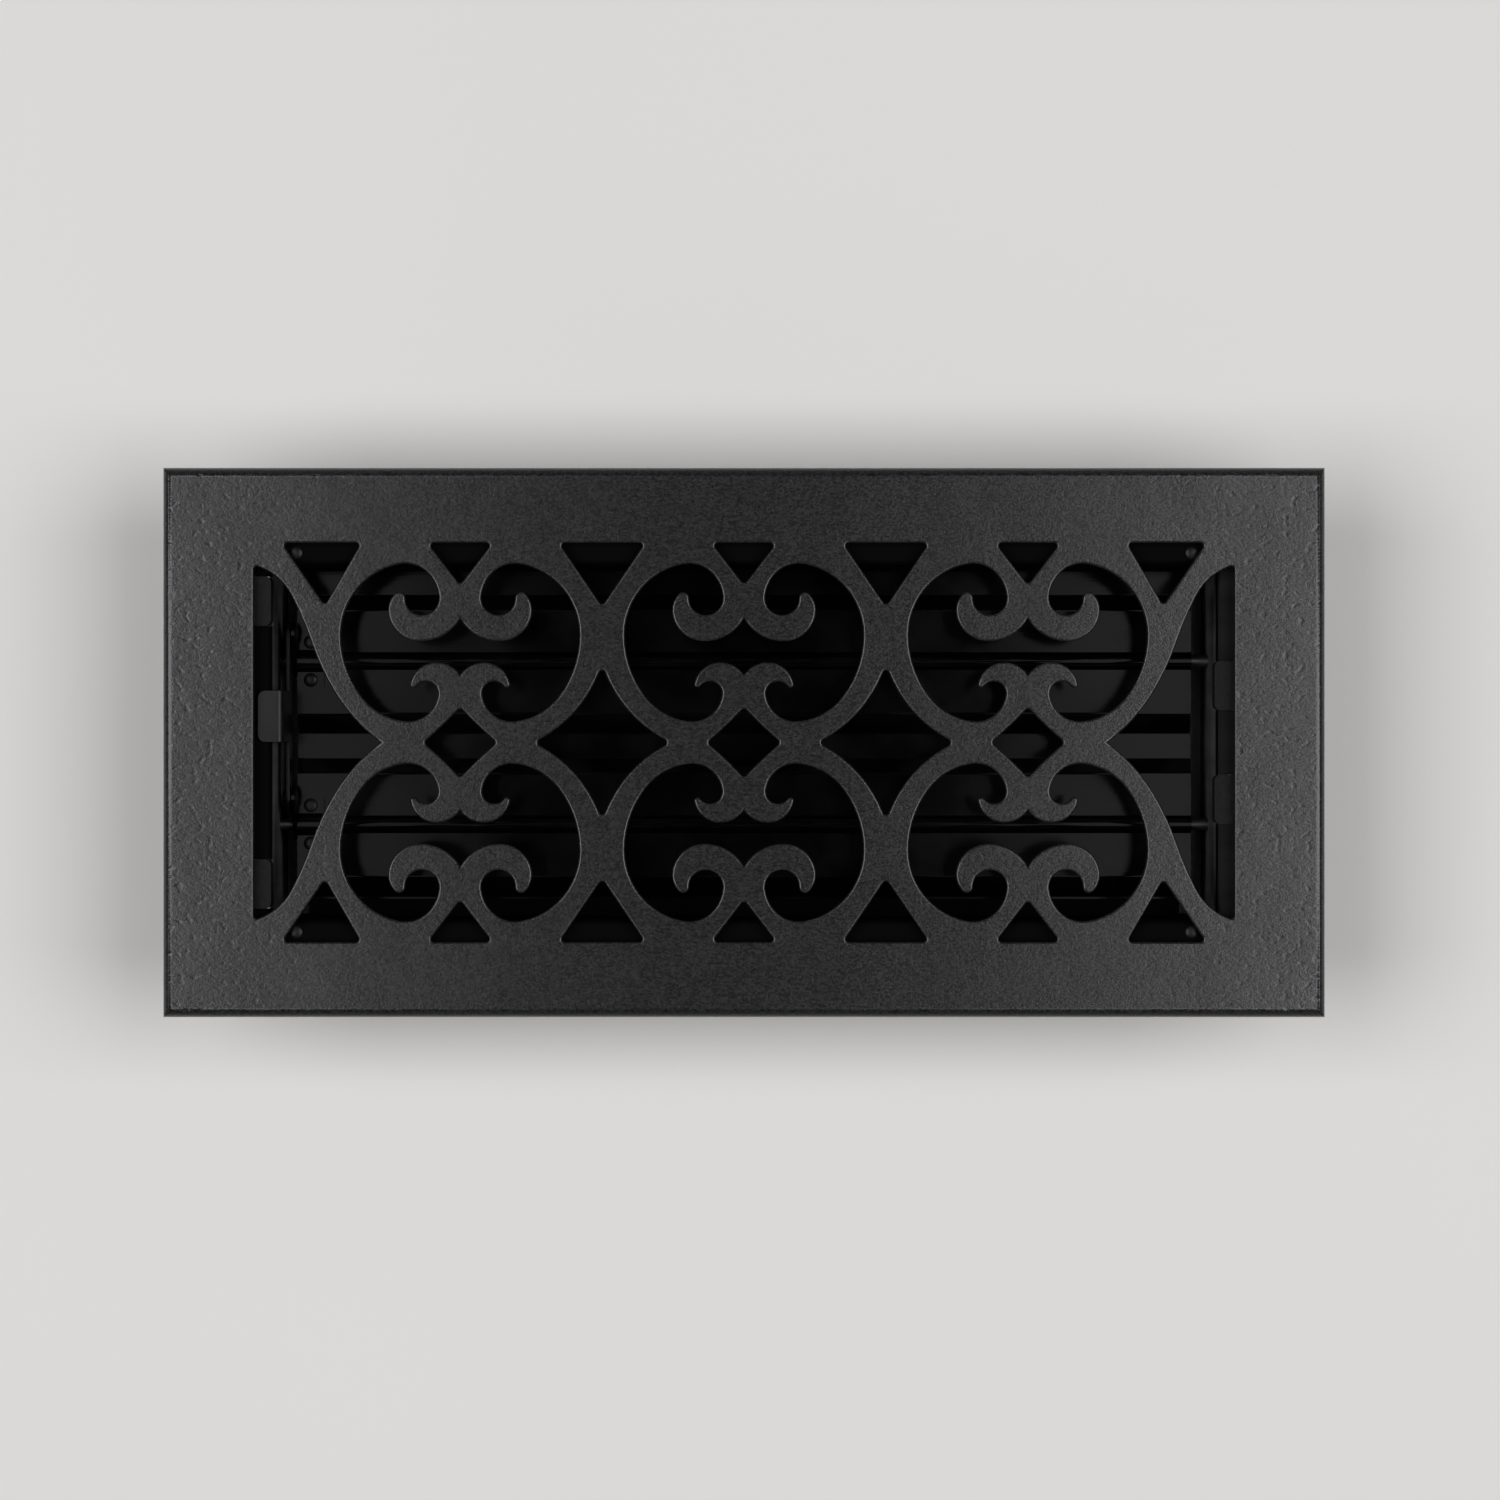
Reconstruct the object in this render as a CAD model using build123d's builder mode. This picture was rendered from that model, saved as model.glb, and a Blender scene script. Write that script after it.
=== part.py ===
"""Cast-iron scroll floor register with a two-blade damper box, in millimetres.

The floor surface is z = 0, +X runs along the face, +Y across it and +Z up out of the floor.
The damper is drawn closed.
"""

import os
from math import cos, hypot, radians, sin, atan2, degrees

from build123d import *

# Face casting
face_length = 295.3
face_width = 139.7
face_thickness = 5.6
face_edge_radius = 2.6
border_end = 23.15
border_side = 19.15
fretwork_thickness = 3.0
pocket_margin = 1.2
cut_corner_radius = 0.8
columns = 3
end_bay = 16.35

# The scroll is drawn on a tile of this length and width, beside an end bay of this length
drawn_units = (72.1, 50.7, 16.35)

# Damper box, folded from sheet
sheet = 0.8
bend_radius = 1.2
box_end_inset = 4.1
box_side_inset = 5.7
side_flange = 8.2
end_flange = 7.6
flange_clearance = 1.6
corner_clearance = 0.1
wing_length = 18.0

# Damper blades
blade_end_room = 4.4
far_wall_gap = 0.5
near_wall_gap = 3.6
blade_lap = 1.1
lap_gap = 0.3
blade_top_room = 1.7
blade_bottom_room = 0.8
lip_width = 6.3
lip_drop = 1.9
lip_ramp = 3.8
near_lip = 1.6
near_ramp = 4.9
opening_angle = 85.0
strap_length = 10.0
strap_pitch = 70.0
ledge_end_room = 7.4

# Pivot rods and their push-on caps
rod_radius = 1.5
rod_running_gap = 0.06
rod_fit_gap = 0.03
rod_end_room = 2.2
cap_radius = 3.8
cap_thickness = 0.8
cap_gap = 0.3

# Cranks, link and thumb lever
crank_reach = 7.0
crank_lift = 7.0
crank_eye_radius = 3.0
crank_hub_radius = 4.2
saddle_length = 7.0
saddle_wing = 4.0
pin_radius = 1.2
pin_head_radius = 2.2
pin_head = 0.7
pin_running_gap = 0.08
link_thickness = 1.0
link_height = 8.0
link_gap = 0.3
tab_width = 13.2
tab_gap = 0.7
tab_flange_gap = 0.4
tab_corner = 2.0

# Lugs, screws and rivets
lug_width = 12.0
lug_depth = 4.0
lug_ledge = 5.3
lug_gap = 0.3
lug_corner = 1.5
lug_setback_left = 0.9
lug_setback_right = -0.7
lug_corner_inset = 9.0
lug_y_right = 14.5
lug_tab_width = 9.0
screw_offset = 2.7
screw_radius = 1.4
screw_hole_gap = 0.05
screw_hole_end = 0.3
screw_head_radius = 2.5
screw_head = 1.9
screw_tip = 0.6
rivet_radius = 1.1
rivet_head_radius = 1.8
rivet_head = 0.7
rivet_inset_x = 7.2
rivet_inset_y = 2.5

# Sizes that follow from the ones above
opening_length = face_length - 2 * border_end
opening_width = face_width - 2 * border_side
tile_length = (opening_length - 2 * end_bay) / columns
tile_width = opening_width / 2
stretch_x = tile_length / drawn_units[0]
stretch_y = tile_width / drawn_units[1]
stretch_bay = end_bay / drawn_units[2]

seat_height = 2 * sheet
pocket_top = face_thickness - fretwork_thickness
box_half_length = opening_length / 2 - box_end_inset
box_half_width = opening_width / 2 - box_side_inset
outer_half_length = box_half_length + sheet
outer_half_width = box_half_width + sheet
flange_end_x = outer_half_length + end_flange
flange_side_y = outer_half_width + side_flange

pivot_pitch = box_half_width - (far_wall_gap + near_wall_gap + blade_lap) / 2
far_reach = box_half_width - far_wall_gap - pivot_pitch / 2
near_reach = box_half_width - near_wall_gap - pivot_pitch / 2
near_drop = lip_drop + sheet + lap_gap
pivot_z = -(far_reach + blade_top_room)
box_bottom = pivot_z - near_reach - blade_bottom_room
blade_half_length = box_half_length - blade_end_room
bead_radius = rod_radius + rod_fit_gap + sheet / 2
rod_half_length = outer_half_length + rod_end_room
saddle_radius = bead_radius + sheet
saddle_reach = saddle_radius + saddle_wing
pivots = {"rear": pivot_pitch / 2, "front": -pivot_pitch / 2}

crank_radius = hypot(crank_reach, crank_lift)
crank_start = degrees(atan2(crank_lift, crank_reach))
lever_travel = crank_reach - crank_radius * cos(radians(crank_start + opening_angle))
arm_face_x = -(blade_half_length + sheet)
link_inner_x = arm_face_x - link_gap
link_outer_x = link_inner_x - link_thickness
pin_z = pivot_z + crank_lift
tab_tip_x = -(opening_length / 2 - tab_gap)
tab_z = sheet + tab_flange_gap + link_thickness / 2

lug_y_left = box_half_width - lug_corner_inset
lug_outer_x = outer_half_length + lug_ledge
screw_x = outer_half_length + screw_offset
rivet_x = outer_half_length - rivet_inset_x
rivet_y = outer_half_width + rivet_inset_y

os.makedirs("parts", exist_ok=True)


def write(part, name):
    """Label a finished piece and write its file."""
    part.label = name
    export_step(part, f"parts/{name}.step")


def tile_point(u, v):
    """Stretch a point of the drawn tile onto the real tile, from the tile's centre."""
    return (u * stretch_x, v * stretch_y)


def bay_point(u, v):
    """Place a point drawn from the outer edge of the right-hand tile, at mid-width of the face."""
    edge = columns * tile_length / 2
    return (edge + u * (stretch_bay if u > 0 else stretch_x), v * stretch_y)


def arc_chain(start, heading, points):
    """Draw arcs from point to point, each tangent to the one before it."""
    for point in points:
        arc = TangentArc(start, point, tangent=heading)
        start = arc @ 1
        heading = arc % 1


def pivot_plane(x, pivot_y):
    """A plane square to a blade's pivot, with its own x along +Y and its own y along +Z."""
    return Plane((x, pivot_y, pivot_z), x_dir=(0, 1, 0), z_dir=(1, 0, 0))


# One scroll cut-out: the ring runs up into the large curl and down into the small hook
ring_side = (-30.3, 2.0)
curl_points = [
    (-15.4, 19.95),
    (-8.5, 18.0),
    (-5.4, 11.8),
    (-10.0, 7.05),
    (-13.95, 11.3),
    (-16.6, 12.4),
    (-18.26, 7.7),
    (-10.7, 0.35),
    (0, 6.1),
]
hook_points = [
    (-25.07, -13.6),
    (-14.15, -19.9),
    (-5.6, -13.4),
    (-11.15, -11.1),
    (-12.65, -10.45),
    (-6.8, -5.0),
    (0, -8.1),
]
with BuildSketch() as scroll_cut:
    with BuildLine():
        arc_chain(tile_point(*ring_side), (0, 1), [tile_point(*p) for p in curl_points])
        arc_chain(tile_point(*ring_side), (0, -1), [tile_point(*p) for p in hook_points])
        mirror(about=Plane.YZ)
    make_face()

# Triangles against the long edge of the opening, over each scroll and between scrolls
with BuildSketch() as small_triangle:
    with BuildLine():
        Polyline(
            tile_point(-8.2, drawn_units[1] / 2),
            tile_point(8.2, drawn_units[1] / 2),
            tile_point(0, 14.7),
            close=True,
        )
    make_face()
    fillet(small_triangle.vertices(), cut_corner_radius)

with BuildSketch() as big_triangle:
    with BuildLine():
        Polyline(
            tile_point(-10.9, drawn_units[1] / 2),
            tile_point(10.9, drawn_units[1] / 2),
            tile_point(0, 9.3),
            close=True,
        )
    make_face()
    fillet(big_triangle.vertices(), cut_corner_radius)

# Diamonds on the centre line, with sides that follow the rings
with BuildSketch() as small_diamond:
    with BuildLine():
        ThreePointArc(tile_point(-9.3, 0), tile_point(-4.9, 3.9), tile_point(0, 8.9))
        mirror(about=Plane.YZ)
        mirror(about=Plane.XZ)
    make_face()
    fillet(small_diamond.vertices(), cut_corner_radius)

with BuildSketch() as big_diamond:
    with BuildLine():
        ThreePointArc(tile_point(-17.3, 0), tile_point(-6.1, 8.7), tile_point(0, 19.9))
        mirror(about=Plane.YZ)
        mirror(about=Plane.XZ)
    make_face()
    fillet(big_diamond.vertices(), cut_corner_radius)

# End bay: a triangle in each corner and a tall opening with S-curved sides
with BuildSketch() as end_triangle:
    with BuildLine():
        Polyline(
            bay_point(-10.9, drawn_units[1]),
            bay_point(9.2, drawn_units[1]),
            bay_point(-1.7, 34.8),
            close=True,
        )
    make_face()
    fillet(end_triangle.vertices(), cut_corner_radius)

end_corner = (drawn_units[2], 45.0)
end_points = [(6.7, 37.2), (1.65, 25.3), (-4.0, 13.1), (-15.9, 0)]
with BuildSketch() as end_opening:
    with BuildLine():
        arc_chain(
            bay_point(*end_corner),
            (-cos(radians(15)), -sin(radians(15))),
            [bay_point(*p) for p in end_points],
        )
        Line(bay_point(*end_corner), bay_point(drawn_units[2], 0))
        mirror(about=Plane.XZ)
    make_face()
    fillet(end_opening.vertices().group_by(Axis.X)[-1], cut_corner_radius)

row_y = tile_width / 2
with BuildSketch() as fretwork:
    with GridLocations(tile_length, 0, columns, 1):
        with Locations((0, row_y)):
            add(scroll_cut.sketch)
            add(small_triangle.sketch)
        add(small_diamond.sketch)
    with GridLocations(tile_length, 0, columns - 1, 1):
        with Locations((0, row_y)):
            add(big_triangle.sketch)
        add(big_diamond.sketch)
    add(end_triangle.sketch)
    add(end_opening.sketch)
    mirror(about=Plane.YZ)
    mirror(about=Plane.XZ)

# Face casting: rounded plate, flange seat and thinner fretwork below, four lugs
lugs = [(-1, lug_y_left, lug_setback_left), (1, lug_y_right, lug_setback_right)]
with BuildPart() as face_grille:
    with BuildSketch():
        Rectangle(face_length, face_width)
    extrude(amount=face_thickness)
    fillet(face_grille.edges().group_by(Axis.Z)[-1], face_edge_radius)
    with BuildSketch():
        Rectangle(2 * (flange_end_x + flange_clearance), 2 * (flange_side_y + flange_clearance))
    extrude(amount=seat_height, mode=Mode.SUBTRACT)
    with BuildSketch(Plane.XY.offset(seat_height)):
        Rectangle(opening_length + 2 * pocket_margin, opening_width + 2 * pocket_margin)
    extrude(amount=pocket_top - seat_height, mode=Mode.SUBTRACT)
    add(fretwork.sketch)
    extrude(amount=face_thickness, mode=Mode.SUBTRACT)
    for end, lug_y, setback in lugs:
        lug_inner_x = box_half_length + setback
        lug_middle_x = end * (lug_inner_x + lug_outer_x) / 2
        with BuildSketch(Plane.XY.offset(-lug_depth)):
            with Locations((lug_middle_x, lug_y), (lug_middle_x, -lug_y)):
                RectangleRounded(lug_outer_x - lug_inner_x, lug_width, lug_corner)
        extrude(amount=lug_depth + pocket_top)
        with BuildSketch(Plane.XY.offset(-lug_depth)):
            with Locations((end * screw_x, lug_y), (end * screw_x, -lug_y)):
                Circle(screw_radius + screw_hole_gap)
        extrude(amount=lug_depth + screw_tip + screw_hole_end, mode=Mode.SUBTRACT)
write(face_grille.part, "face_grille")

# Long walls: upright sheet, outward top flange and a folded ledge for the blade's edge
ledge_fold = 2 * sheet
wall_y = box_half_width + sheet / 2
flange_flat = side_flange - bend_radius
rear_ledge_z = pivot_z - lip_drop - sheet / 2 - lap_gap - ledge_fold
front_ledge_z = pivot_z - near_drop + sheet / 2 + lap_gap
ledges = {
    "rear": (far_wall_gap + lip_width - blade_lap, rear_ledge_z),
    "front": (near_wall_gap + blade_lap, front_ledge_z),
}
for name, side in (("rear", 1), ("front", -1)):
    ledge_width, ledge_z = ledges[name]
    with BuildPart() as side_wall:
        with BuildSketch(Plane.YZ):
            with BuildLine():
                FilletPolyline(
                    (side * wall_y, box_bottom),
                    (side * wall_y, seat_height - sheet / 2),
                    (side * flange_side_y, seat_height - sheet / 2),
                    radius=bend_radius,
                )
            trace(line_width=sheet)
        extrude(amount=outer_half_length, both=True)
        with BuildSketch(Plane.XY.offset(seat_height - sheet)):
            with Locations((0, side * (flange_side_y - flange_flat / 2))):
                Rectangle(2 * flange_end_x, flange_flat)
        extrude(amount=sheet)
        with BuildSketch():
            with Locations((-rivet_x, side * rivet_y), (rivet_x, side * rivet_y)):
                Circle(rivet_radius)
        extrude(amount=seat_height, mode=Mode.SUBTRACT)
        with BuildSketch(Plane.XY.offset(ledge_z)):
            with Locations((0, side * (wall_y - ledge_width / 2))):
                Rectangle(2 * (box_half_length - ledge_end_room), ledge_width)
        extrude(amount=ledge_fold)
    write(side_wall.part, f"side_wall_{name}")

# Short walls: upright sheet, top flange with wings under the long flanges, tabs below the lugs
end_flat = end_flange - corner_clearance
wing_width = side_flange - bend_radius - corner_clearance
wing_middle_y = flange_side_y - wing_width / 2
notch_length = flange_end_x - box_half_length + bend_radius
notch_middle_x = flange_end_x - notch_length / 2 + sheet
tab_middle_x = (box_half_length + lug_outer_x) / 2
for name, end, lug_y in (("left", -1, lug_y_left), ("right", 1, lug_y_right)):
    wall_x = end * (box_half_length + sheet / 2)
    with BuildPart() as end_wall:
        with BuildSketch(Plane.XZ):
            with BuildLine():
                FilletPolyline(
                    (wall_x, box_bottom),
                    (wall_x, sheet / 2),
                    (end * flange_end_x, sheet / 2),
                    radius=bend_radius,
                )
            trace(line_width=sheet)
        extrude(amount=box_half_width, both=True)
        with BuildSketch():
            with Locations((end * (flange_end_x - end_flat / 2), 0)):
                Rectangle(end_flat, 2 * flange_side_y)
            for wing_y in (-wing_middle_y, wing_middle_y):
                with Locations((end * (flange_end_x - wing_length / 2), wing_y)):
                    Rectangle(wing_length, wing_width)
            with Locations((end * rivet_x, -rivet_y), (end * rivet_x, rivet_y)):
                Circle(rivet_radius, mode=Mode.SUBTRACT)
        extrude(amount=sheet)
        with BuildSketch(Plane.XY.offset(-lug_depth)):
            with Locations((end * notch_middle_x, -lug_y), (end * notch_middle_x, lug_y)):
                Rectangle(notch_length, lug_width + 2 * lug_gap)
        extrude(amount=lug_depth + seat_height, mode=Mode.SUBTRACT)
        with BuildSketch(Plane.XY.offset(-lug_depth - sheet)):
            with Locations((end * tab_middle_x, -lug_y), (end * tab_middle_x, lug_y)):
                Rectangle(lug_outer_x - box_half_length, lug_tab_width)
            with Locations((end * screw_x, -lug_y), (end * screw_x, lug_y)):
                Circle(screw_radius + screw_hole_gap, mode=Mode.SUBTRACT)
        extrude(amount=sheet)
        for pivot_y in pivots.values():
            with BuildSketch(pivot_plane(wall_x, pivot_y)):
                Circle(rod_radius + rod_running_gap)
            extrude(amount=sheet, both=True, mode=Mode.SUBTRACT)
    write(end_wall.part, f"end_wall_{name}")

# Blades: rolled sheet with a bead over the rod, straps under it, and stepped edges
rivet_seat_x = -blade_half_length + saddle_length / 2
rivet_row = saddle_reach - rivet_head_radius
for name, pivot_y in pivots.items():
    rivet_places = [(rivet_seat_x, pivot_y - rivet_row), (rivet_seat_x, pivot_y + rivet_row)]
    with BuildPart() as blade:
        with BuildSketch(pivot_plane(0, pivot_y)):
            with BuildLine():
                FilletPolyline(
                    (-near_reach, -near_drop),
                    (near_lip - near_reach, -near_drop),
                    (near_lip + near_ramp - near_reach, 0),
                    (-bead_radius, 0),
                    radius=bend_radius,
                )
            trace(line_width=sheet)
            with BuildLine():
                FilletPolyline(
                    (bead_radius, 0),
                    (far_reach - lip_width - lip_ramp, 0),
                    (far_reach - lip_width, -lip_drop),
                    (far_reach, -lip_drop),
                    radius=bend_radius,
                )
            trace(line_width=sheet)
            with BuildLine():
                CenterArc((0, 0), bead_radius, 0, 180)
            trace(line_width=sheet)
        extrude(amount=blade_half_length, both=True)
        for strap_x in (-strap_pitch, 0, strap_pitch):
            with BuildSketch(pivot_plane(strap_x, pivot_y)):
                with BuildLine():
                    CenterArc((0, 0), bead_radius, 180, 180)
                trace(line_width=sheet)
            extrude(amount=strap_length / 2, both=True)
        with BuildSketch(Plane.XY.offset(pivot_z)):
            with Locations(*rivet_places):
                Circle(rivet_radius)
        extrude(amount=sheet, both=True, mode=Mode.SUBTRACT)
    write(blade.part, f"blade_{name}")

    with BuildPart() as pivot_rod:
        with BuildSketch(pivot_plane(0, pivot_y)):
            Circle(rod_radius)
        extrude(amount=rod_half_length, both=True)
    write(pivot_rod.part, f"pivot_rod_{name}")

    with BuildPart() as rod_caps:
        for face_x in (-outer_half_length - cap_gap - cap_thickness, outer_half_length + cap_gap):
            with BuildSketch(pivot_plane(face_x, pivot_y)):
                Circle(cap_radius)
                Circle(rod_radius + rod_fit_gap, mode=Mode.SUBTRACT)
            extrude(amount=cap_thickness)
    write(rod_caps.part, f"rod_caps_{name}")

    # Crank: a saddle riveted over the bead, with an upright arm that reaches to the link
    with BuildPart() as crank:
        with BuildSketch(pivot_plane(-blade_half_length, pivot_y)):
            with BuildLine():
                CenterArc((0, 0), saddle_radius, 0, 180)
            trace(line_width=sheet)
            for wing_side in (-1, 1):
                with BuildLine():
                    Line((wing_side * saddle_radius, sheet), (wing_side * saddle_reach, sheet))
                trace(line_width=sheet)
            with Locations((0, -saddle_radius + sheet / 2)):
                Rectangle(2 * saddle_reach, 2 * saddle_radius, mode=Mode.SUBTRACT)
        extrude(amount=saddle_length)
        with BuildSketch(Plane.XY.offset(pivot_z)):
            with Locations(*rivet_places):
                Circle(rivet_radius)
        extrude(amount=2 * sheet, mode=Mode.SUBTRACT)
        with BuildSketch(pivot_plane(arm_face_x, pivot_y)):
            Circle(crank_hub_radius)
            with Locations((crank_reach, crank_lift)):
                Circle(crank_eye_radius)
            make_hull()
            Circle(rod_radius + rod_fit_gap, mode=Mode.SUBTRACT)
            with Locations((crank_reach, crank_lift)):
                Circle(pin_radius, mode=Mode.SUBTRACT)
        extrude(amount=sheet)
    write(crank.part, f"crank_{name}")

    with BuildPart() as crank_rivets:
        for start_z, length, radius in (
            (pivot_z - sheet / 2 - rivet_head, rivet_head, rivet_head_radius),
            (pivot_z - sheet / 2, 2 * sheet, rivet_radius),
            (pivot_z + 1.5 * sheet, rivet_head, rivet_head_radius),
        ):
            with BuildSketch(Plane.XY.offset(start_z)):
                with Locations(*rivet_places):
                    Circle(radius)
            extrude(amount=length)
    write(crank_rivets.part, f"crank_rivets_{name}")

    # Link pin: riveted in the crank's eye, with its head outside the link
    with BuildPart() as link_pin:
        for start_x, length, radius in (
            (link_outer_x - link_gap - pin_head, pin_head, pin_head_radius),
            (link_outer_x - link_gap, link_thickness + 2 * link_gap + sheet, pin_radius),
            (-blade_half_length, pin_head, pin_head_radius),
        ):
            with BuildSketch(pivot_plane(start_x, pivot_y)):
                with Locations((crank_reach, crank_lift)):
                    Circle(radius)
            extrude(amount=length)
    write(link_pin.part, f"link_pin_{name}")

# Link bar between the two pins, with a neck that rises to the thumb tab
tab_y = lever_travel / 2
pin_ys = [pivot_y + crank_reach for pivot_y in pivots.values()]
link_middle_x = (link_inner_x + link_outer_x) / 2
with BuildPart() as lever_link:
    with BuildSketch(Plane.XZ.offset(-tab_y)):
        with BuildLine():
            FilletPolyline(
                (link_middle_x, pin_z),
                (link_middle_x, tab_z),
                (tab_tip_x, tab_z),
                radius=bend_radius,
            )
        trace(line_width=link_thickness)
    extrude(amount=tab_width / 2, both=True)
    fillet(lever_link.edges().filter_by(Axis.Z).group_by(Axis.X)[0], tab_corner)
    with BuildSketch(Plane.YZ.offset(link_outer_x)):
        with Locations((sum(pin_ys) / 2, pin_z)):
            SlotCenterToCenter(pivot_pitch, link_height)
    extrude(amount=link_thickness)
    with BuildSketch(Plane.YZ.offset(link_outer_x)):
        with Locations(*[(pin_y, pin_z) for pin_y in pin_ys]):
            Circle(pin_radius + pin_running_gap)
    extrude(amount=link_thickness, mode=Mode.SUBTRACT)
write(lever_link.part, "lever_link")

# Rivets through the corner flanges, and screws through the wall tabs into the lugs
with BuildPart() as corner_rivets:
    for start_z, length, radius in (
        (-rivet_head, rivet_head, rivet_head_radius),
        (0, seat_height, rivet_radius),
        (seat_height, rivet_head, rivet_head_radius),
    ):
        with BuildSketch(Plane.XY.offset(start_z)):
            with GridLocations(2 * rivet_x, 2 * rivet_y, 2, 2):
                Circle(radius)
        extrude(amount=length)
write(corner_rivets.part, "corner_rivets")

screw_seat_z = -lug_depth - sheet
with BuildPart() as fixing_screws:
    for start_z, length, radius in (
        (screw_seat_z - screw_head, screw_head, screw_head_radius),
        (screw_seat_z, -screw_seat_z + screw_tip, screw_radius),
    ):
        with BuildSketch(Plane.XY.offset(start_z)):
            for end, lug_y, setback in lugs:
                with Locations((end * screw_x, -lug_y), (end * screw_x, lug_y)):
                    Circle(radius)
        extrude(amount=length)
write(fixing_screws.part, "fixing_screws")
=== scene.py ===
"""Looks of a cast-iron scroll floor register with a two-blade damper box, in metres.

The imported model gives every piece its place. Here the face casting gets its rounded edges,
the fasteners get their real heads, and every surface gets its finish.
"""

import logging
import math
from dataclasses import dataclass
from enum import Enum
from typing import Callable, Iterable, Sequence

import bpy
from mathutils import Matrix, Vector


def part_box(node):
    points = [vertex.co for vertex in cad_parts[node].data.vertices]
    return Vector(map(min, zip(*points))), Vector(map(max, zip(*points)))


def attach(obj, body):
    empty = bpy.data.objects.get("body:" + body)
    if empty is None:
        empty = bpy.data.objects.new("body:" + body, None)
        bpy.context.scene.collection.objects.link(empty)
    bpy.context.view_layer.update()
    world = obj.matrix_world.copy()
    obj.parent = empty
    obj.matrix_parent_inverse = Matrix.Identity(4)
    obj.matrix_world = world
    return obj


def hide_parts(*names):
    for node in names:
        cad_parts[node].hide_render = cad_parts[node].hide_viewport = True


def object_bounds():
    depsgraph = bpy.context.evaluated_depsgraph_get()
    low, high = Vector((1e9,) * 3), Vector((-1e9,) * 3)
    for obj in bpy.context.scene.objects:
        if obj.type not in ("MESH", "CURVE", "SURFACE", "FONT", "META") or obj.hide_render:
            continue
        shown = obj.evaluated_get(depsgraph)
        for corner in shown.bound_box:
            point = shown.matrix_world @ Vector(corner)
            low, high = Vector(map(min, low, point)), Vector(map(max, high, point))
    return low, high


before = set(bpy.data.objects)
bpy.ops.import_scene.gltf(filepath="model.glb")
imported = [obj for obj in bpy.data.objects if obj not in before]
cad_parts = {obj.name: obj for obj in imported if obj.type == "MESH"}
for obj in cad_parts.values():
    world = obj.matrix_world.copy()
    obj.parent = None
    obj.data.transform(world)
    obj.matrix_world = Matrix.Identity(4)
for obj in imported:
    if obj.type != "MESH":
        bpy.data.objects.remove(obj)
cad_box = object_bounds()

log = logging.getLogger("register")

Profile = Sequence[tuple[float, float]]
Range = tuple[float, float]
Colour = tuple[float, float, float]
Scale = tuple[float, float, float]

RISE: Range = (0.0, 1.0)
FALL: Range = (1.0, 0.0)
COMMON_NOISE: Range = (0.3, 0.7)

TURNED_SIDES = 32
TURNED_WELD = 1e-6
NODE_WELD = 2e-6
FLAT_DEGREES = 0.3
ROUNDED_DEGREES = 40.0
LARGE_FACE_WEIGHT = 100


class Axis(Enum):
    """The way a turned piece points, as the turn that lays it there."""

    UP = (0.0, 0.0, 0.0)
    RIGHT = (0.0, math.pi / 2, 0.0)
    LEFT = (0.0, -math.pi / 2, 0.0)


class Body(Enum):
    """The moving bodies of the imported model."""

    REGISTER = "register"
    REAR_BLADE = "rear_blade"
    FRONT_BLADE = "front_blade"
    LEVER = "lever"


class Slot(Enum):
    """The record's material slots."""

    CAST_IRON = "black_cast_iron"
    SHEET_STEEL = "black_sheet_steel"
    ZINC_STEEL = "zinc_steel"


def deselect_all() -> None:
    """Leave edit mode and deselect every object."""
    if bpy.context.mode != "OBJECT":
        bpy.ops.object.mode_set(mode="OBJECT")
    bpy.ops.object.select_all(action="DESELECT")


def activate(piece: bpy.types.Object) -> None:
    """Make one object the only selected and active one."""
    deselect_all()
    piece.select_set(True)
    bpy.context.view_layer.objects.active = piece


def apply_modifier(piece: bpy.types.Object, modifier: bpy.types.Modifier) -> None:
    """Apply a modifier to its object."""
    activate(piece)
    bpy.ops.object.modifier_apply(modifier=modifier.name)


def smooth(piece: bpy.types.Object, degrees: float) -> None:
    """Shade a piece smooth, apart from edges sharper than an angle."""
    activate(piece)
    bpy.ops.object.shade_smooth_by_angle(angle=math.radians(degrees))


def join(pieces: Sequence[bpy.types.Object], name: str) -> bpy.types.Object:
    """Join pieces into one object.

    Args:
        pieces: the objects to join, which end up in the first of them.
        name: the name of the joined object.

    Returns:
        The joined object.
    """
    activate(pieces[0])
    for piece in pieces[1:]:
        piece.select_set(True)
    if len(pieces) > 1:
        bpy.ops.object.join()
    pieces[0].name = name
    return pieces[0]


def turned(profile: Profile, ring: bool = False) -> bpy.types.Object:
    """Model a turned solid about Z, by extruding and scaling a circle along its profile.

    Args:
        profile: radius and height of each step, in order along the outline.
        ring: whether the profile goes round a ring's section and closes on its start.

    Returns:
        The new object, at the origin.
    """
    deselect_all()
    radius, height = profile[0]
    fill = "NOTHING" if ring else "NGON"
    bpy.ops.mesh.primitive_circle_add(vertices=TURNED_SIDES, radius=radius, fill_type=fill)
    piece = bpy.context.active_object
    bpy.ops.object.mode_set(mode="EDIT")
    bpy.ops.mesh.select_all(action="SELECT")
    bpy.ops.transform.translate(value=(0, 0, height))
    closing = [profile[0]] if ring else []
    for next_radius, next_height in [*profile[1:], *closing]:
        rise = (0, 0, next_height - height)
        share = next_radius / radius
        bpy.ops.mesh.extrude_region_move(TRANSFORM_OT_translate={"value": rise})
        bpy.ops.transform.resize(value=(share, share, 1), center_override=(0, 0, next_height))
        radius, height = next_radius, next_height
    bpy.ops.mesh.select_all(action="SELECT")
    bpy.ops.mesh.remove_doubles(threshold=TURNED_WELD)
    bpy.ops.mesh.normals_make_consistent(inside=False)
    bpy.ops.object.mode_set(mode="OBJECT")
    return piece


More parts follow.
